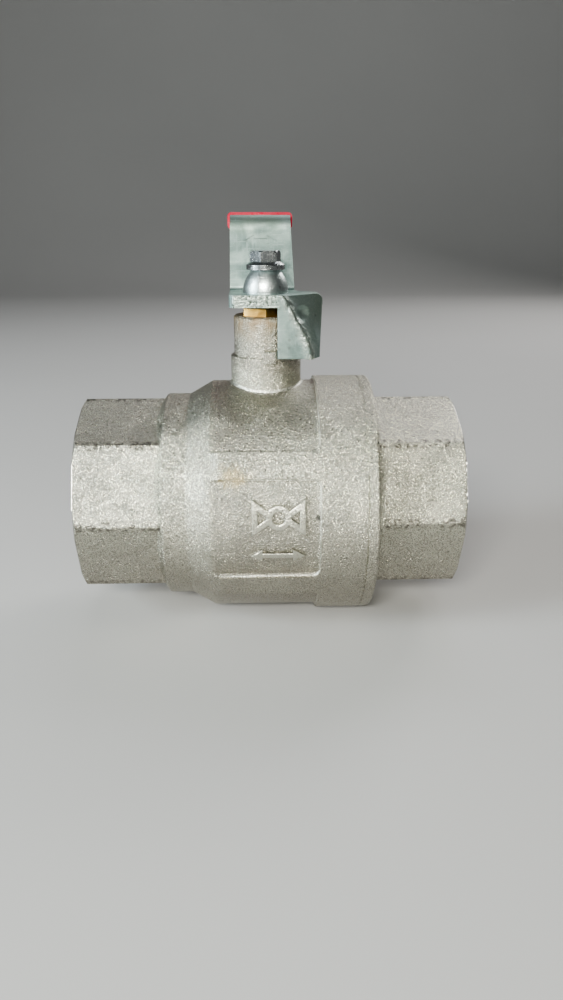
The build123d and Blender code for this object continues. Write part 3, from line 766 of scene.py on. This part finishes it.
def dipped_vinyl():
    """Glossy red vinyl with orange peel, pale scratches and dark spots."""
    material, tree, shader = new_material("red_vinyl", 0.0, (0.50, 0.012, 0.045), 0.26)
    place = object_place(tree)
    marks = use_group(tree, handled, Scratches=0.5)
    shade = ramp(tree, noise_at(tree, place, 28.0, 3.0), 0.35, 0.65)
    colour = coated(
        tree,
        mix(tree, shade, vinyl_dark, vinyl_light),
        (times(tree, marks["Scratch"], 0.25), vinyl_scratch),
        (times(tree, marks["Spots"], 0.3), vinyl_spot),
    )
    feed(tree, shader.inputs["Base Color"], colour)
    feed(tree, shader.inputs["Roughness"], ramp(tree, marks["Smudge"], 0.3, 0.7, 0.20, 0.36))
    peel = noise_at(tree, place, 320.0, 2.0)
    bump(tree, shader, plus(tree, peel, times(tree, marks["Scratch"], -0.2)), 0.12 * MM)
    shader.inputs["Coat Weight"].default_value = 0.25
    shader.inputs["Coat Roughness"].default_value = 0.15
    return material


vinyl = dipped_vinyl()
print("vinyl:", len(vinyl.node_tree.nodes), "nodes")

# %% Materials: PTFE and rubber
ptfe_dark = (0.80, 0.80, 0.76, 1)
ptfe_light = (0.90, 0.90, 0.87, 1)
rubber_dark = (0.012, 0.012, 0.013, 1)
rubber_light = (0.035, 0.035, 0.036, 1)


def white_ptfe():
    """Waxy white PTFE, turned round the pipe's axis, with a little light inside it."""
    material, tree, shader = new_material("ptfe", 0.0, (0.86, 0.86, 0.83), 0.42)
    place = object_place(tree)
    x, y, z = split(tree, place)
    shade = noise_at(tree, place, 160.0, 3.0)
    feed(tree, shader.inputs["Base Color"], mix(tree, shade, ptfe_dark, ptfe_light))
    feed(tree, shader.inputs["Roughness"], ramp(tree, shade, 0.3, 0.7, 0.36, 0.50))
    rings = use_group(tree, turned, Distance=round_axis(tree, y, z), Rings_per_metre=3500.0)
    bump(tree, shader, rings["Height"], 0.01 * MM)
    shader.inputs["Subsurface Weight"].default_value = 0.1
    shader.inputs["Subsurface Radius"].default_value = (MM, MM, MM)
    return material


def black_rubber():
    """Matt black rubber with a fine mottle."""
    material, tree, shader = new_material("nitrile_rubber", 0.0, (0.018, 0.018, 0.019), 0.55)
    shade = noise_at(tree, object_place(tree), 500.0, 4.0)
    feed(tree, shader.inputs["Base Color"], mix(tree, shade, rubber_dark, rubber_light))
    feed(tree, shader.inputs["Roughness"], ramp(tree, shade, 0.3, 0.7, 0.45, 0.65))
    bump(tree, shader, shade, 0.03 * MM)
    return material


finishes = {
    "nickel_plated_brass": nickel,
    "zinc_plated_steel": lever_zinc,
    "bright_zinc": dome_zinc,
    "zinc_screw": screw_zinc,
    "bare_brass": brass,
    "chromed_ball": chrome,
    "red_vinyl": vinyl,
    "ptfe": white_ptfe(),
    "nitrile_rubber": black_rubber(),
}
print("finishes:", ", ".join(sorted(finishes)))

# %% [markdown]
# ## Dress the CAD pieces
#
# Each CAD node already carries the right shape, so it only needs its finish. The record says which
# slot each node belongs to, and one loop hands out the materials. The floor gets its own pale,
# faintly cloudy paper.

# %% Give every node its finish
slot_of = {sub["node"]: sub["material_slot"] for sub in frame["record"]["subparts"]}
bodies = frame["record"]["behaviour"]["bodies"]
body_of = {node: body for body, nodes in bodies.items() for node in nodes}
for name, node in frame["nodes"].items():
    node.data.materials.clear()
    node.data.materials.append(finishes[slot_of[name]])
print("dressed", len(slot_of), "nodes")

# %% Paper on the floor
paper_dark = (0.48, 0.475, 0.47, 1)
paper_light = (0.52, 0.515, 0.51, 1)
paper, tree, shader = new_material("pale_paper", 0.0, (0.50, 0.495, 0.49), 0.9)
fibres = noise_at(tree, object_place(tree), 3.0, 3.0)
feed(tree, shader.inputs["Base Color"], mix(tree, fibres, paper_dark, paper_light))
floor.data.materials.append(paper)
print("floor dressed in", paper.name)

# %% [markdown]
# ## Round the edges that a press leaves
#
# A stamped lever, a hexagon and a screw head have no truly sharp edges, and those thin rounded
# edges catch the light. A copy of the CAD mesh is welded, its flat faces are joined again, and
# every sharp edge is bevelled. The middle of each new round is marked in an attribute for edge
# rubbing and highlight, which the zinc shader reads, and the marking fades out towards the flats.

# %% Edge rounding helpers
weld_gap = 0.002 * MM
flat_within = radians(0.4)
sharp_from = radians(30.0)


def welded(node_name):
    """A copy of a CAD mesh with its loose triangles joined up and its flats made whole."""
    bm = bmesh.new()
    bm.from_mesh(frame["nodes"][node_name].data)
    bmesh.ops.remove_doubles(bm, verts=bm.verts, dist=weld_gap)
    bmesh.ops.dissolve_limit(bm, angle_limit=flat_within, verts=bm.verts, edges=bm.edges)
    return bm


def round_edges(bm, width):
    """Bevel every sharp edge, and mark the middle of each round for rubbing."""
    edges = [e for e in bm.edges if len(e.link_faces) == 2 and e.calc_face_angle(0.0) > sharp_from]
    made = bmesh.ops.bevel(
        bm,
        geom=edges,
        offset=width,
        affect="EDGES",
        segments=2,
        profile=0.5,
        material=-1,
        clamp_overlap=True,
    )
    wear_highlight_layer = bm.verts.layers.float.new("edge_wear_and_highlight")
    rounds = set(made["faces"])
    for vert in {vert for face in rounds for vert in face.verts}:
        if all(face in rounds for face in vert.link_faces):
            vert[wear_highlight_layer] = 1.0
    return len(edges)


def stand_for(piece, node_name):
    """Let a finished piece take a CAD node's place: its finish and its body, with the node hidden."""
    slot = slot_of[node_name]
    piece.data.materials.append(finishes[slot])
    flatter = piece.modifiers.new("flat_faces_stay_flat", "WEIGHTED_NORMAL")
    flatter.keep_sharp = True
    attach(piece, body_of[node_name])
    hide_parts(node_name)


print("edge rounding ready")

# %% [markdown]
# ## The torn ear of the lever
#
# The stop ear is drawn down over a corner of the die, and the steel tears a little there: the
# ridge between its front and its side is rough and bright from rubbing, with a painted highlight
# along it, and a punch has left a hollow in the side. Flat faces have no points in them to move, so
# the ear's faces are first cut by rows of planes. Then the points near the hollow are pushed in, and
# those along the ridge are roughened and marked for rubbing and the painted highlight.

# %% Cut the ear finer
ear_low = Vector((ear_left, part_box("lever")[0].y - MM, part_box("lever")[0].z - MM))
plate_thick = 4.2 * MM
ear_high = Vector((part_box("lever")[1].x + MM, 2 * MM, plate_low + 0.5 * MM + plate_thick + MM))


def within_ear(point):
    """Whether a point lies in the box round the ear."""
    return all(ear_low[k] < point[k] < ear_high[k] for k in range(3))


def cut_finer(bm, step):
    """Cut the ear's faces by planes across X, Y and Z, a step apart."""
    for axis in range(3):
        across = Vector((0, 0, 0))
        across[axis] = 1
        for row in range(1, int((ear_high[axis] - ear_low[axis]) / step)):
            near = [face for face in bm.faces if within_ear(face.calc_center_median())]
            edges = list({edge for face in near for edge in face.edges})
            verts = list({vert for face in near for vert in face.verts})
            at = across * (ear_low[axis] + row * step)
            bmesh.ops.bisect_plane(bm, geom=near + edges + verts, dist=1e-7, plane_co=at, plane_no=across)


print("ear from", [round(v, 4) for v in ear_low], "to", [round(v, 4) for v in ear_high])

# %% Tear the ear
side_out = Vector((0.66, -0.75, 0.0))
hollow_x = 12.6 * MM
hollow_z = 70.5 * MM
hollow_radius = 3.2 * MM
hollow_depth = 1.3 * MM
ridge_foot = 15.8 * MM
ridge_top = 5.4 * MM
ridge_bow = 1.4
ridge_width = 1.9 * MM
ridge_swell = 0.45 * MM
grit_per_metre = 700
lumps_per_metre = 300


def hollow_push(point):
    """How far the punch pushed a point in."""
    away = ((point.x - hollow_x) ** 2 + (point.z - hollow_z) ** 2) ** 0.5 / hollow_radius
    return hollow_depth * max(0.0, 1 - away * away) ** 1.5


def on_ridge(point):
    """1 on the ridge's bowed line and 0 away from it."""
    foot_z = ear_low.z + MM
    top_z = ear_high.z - MM
    share = min(1.0, max(0.0, (point.z - foot_z) / (top_z - foot_z)))
    ridge_x = ridge_foot - (ridge_foot - ridge_top) * share**ridge_bow
    return exp(-(((point.x - ridge_x) / ridge_width) ** 2))


def tear_ear(bm):
    """Push a hollow into the ear's side, and swell and roughen the ridge beside it, marking it for
    rubbing and a painted highlight.
    """
    wear_highlight_layer = bm.verts.layers.float["edge_wear_and_highlight"]
    bm.normal_update()
    moves = {}
    for vert in bm.verts:
        outward = max(vert.normal.dot(side_out), -vert.normal.y)
        if not within_ear(vert.co) or outward < 0.4:
            continue
        ridge = on_ridge(vert.co)
        grit = noise.noise(vert.co * grit_per_metre) * 0.5
        lump = noise.noise(vert.co * lumps_per_metre) * 0.7
        swell = ridge * (0.7 + grit + lump) * ridge_swell
        moves[vert] = vert.normal * swell - side_out * hollow_push(vert.co)
        # The ridge is marked for rubbing and a painted highlight.
        vert[wear_highlight_layer] = max(vert[wear_highlight_layer], min(1.0, ridge * 1.2))
    for vert, move in moves.items():
        vert.co += move
    return len(moves)


print("ridge", round(2 * ridge_width, 4), "wide, hollow", round(2 * hollow_radius, 4), "across")

# %% The lever
lever_mesh = welded("lever")
rounded = round_edges(lever_mesh, 0.45 * MM)
cut_finer(lever_mesh, 0.7 * MM)
torn_points = tear_ear(lever_mesh)
pressed_lever = new_piece("pressed_lever", lever_mesh)
stand_for(pressed_lever, "lever")
print("lever: rounded", rounded, "edges, moved", torn_points, "points")
print("lever:", len(pressed_lever.data.polygons), "faces")

# %% The screw and the gland
for name, node_name, width in (
    ("flanged_screw", "lever_screw", 0.22 * MM),
    ("gland_hexagon", "gland_nut", 0.18 * MM),
):
    mesh = welded(node_name)
    rounded = round_edges(mesh, width)
    piece = new_piece(name, mesh)
    stand_for(piece, node_name)
    print(name, "rounded", rounded, "edges,", len(piece.data.polygons), "faces")

# %% [markdown]
# ## The pipe threads
#
# Each socket carries a G 2 thread: a 55 degree ridge, 11 to the inch. One ridge is a small
# trapezoid, and spinning it round the pipe's axis while it moves along by one pitch per turn winds
# it into a helix. The ridge runs out softly at both ends, as a cut thread does.

# %% Thread ridges
pitch = 25.4 / 11 * MM
ridge_height = 1.479 * MM
root_radius = 29.807 * MM
sunk_radius = root_radius + 0.02 * MM
crest_radius = root_radius - ridge_height
half_crest = pitch / 12
half_base = half_crest + ridge_height * tan(radians(27.5))
steps_per_turn = 60


def run_out(bm, low, high):
    """Let the ridge sink into the wall over the last pitch at each end."""
    for vert in bm.verts:
        fade = min(1.0, (vert.co.x - low + half_base) / pitch, (high + half_base - vert.co.x) / pitch)
        across = Vector((0, vert.co.y, vert.co.z))
        wanted = sunk_radius - (sunk_radius - across.length) * max(0.0, fade)
        across = across.normalized() * wanted
        vert.co.y = across.y
        vert.co.z = across.z


def thread_ridge(name, first_x, last_x, body):
    """A helical ridge inside a socket from first_x to last_x."""
    steps = int(abs(last_x - first_x) / pitch * steps_per_turn)
    profile = [
        (-half_base, sunk_radius),
        (-half_crest, crest_radius),
        (half_crest, crest_radius),
        (half_base, sunk_radius),
    ]
    bm = bmesh.new()
    verts = [bm.verts.new((first_x + dx, radius, 0.0)) for dx, radius in profile]
    edges = [bm.edges.new(pair) for pair in zip(verts, verts[1:] + verts[:1])]
    bmesh.ops.spin(
        bm,
        geom=verts + edges,
        axis=(1, 0, 0),
        cent=(0, 0, 0),
        dvec=((last_x - first_x) / steps, 0, 0),
        angle=2 * pi * steps / steps_per_turn,
        steps=steps,
        use_merge=False,
    )
    ends = [e for e in bm.edges if len(e.link_faces) == 1]
    bmesh.ops.holes_fill(bm, edges=ends)
    run_out(bm, min(first_x, last_x), max(first_x, last_x))
    bmesh.ops.recalc_face_normals(bm, faces=bm.faces)
    piece = new_piece(name, bm)
    piece.data.materials.append(nickel)
    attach(piece, body)
    return piece


entry = 2.2 * MM
depth = 21.5 * MM
inlet_ridge = thread_ridge("inlet_thread", inlet_face + entry, inlet_face + depth, "housing")
outlet_ridge = thread_ridge("outlet_thread", outlet_face - entry, outlet_face - depth, "housing")
print("thread ridges:", len(inlet_ridge.data.polygons), "faces each")
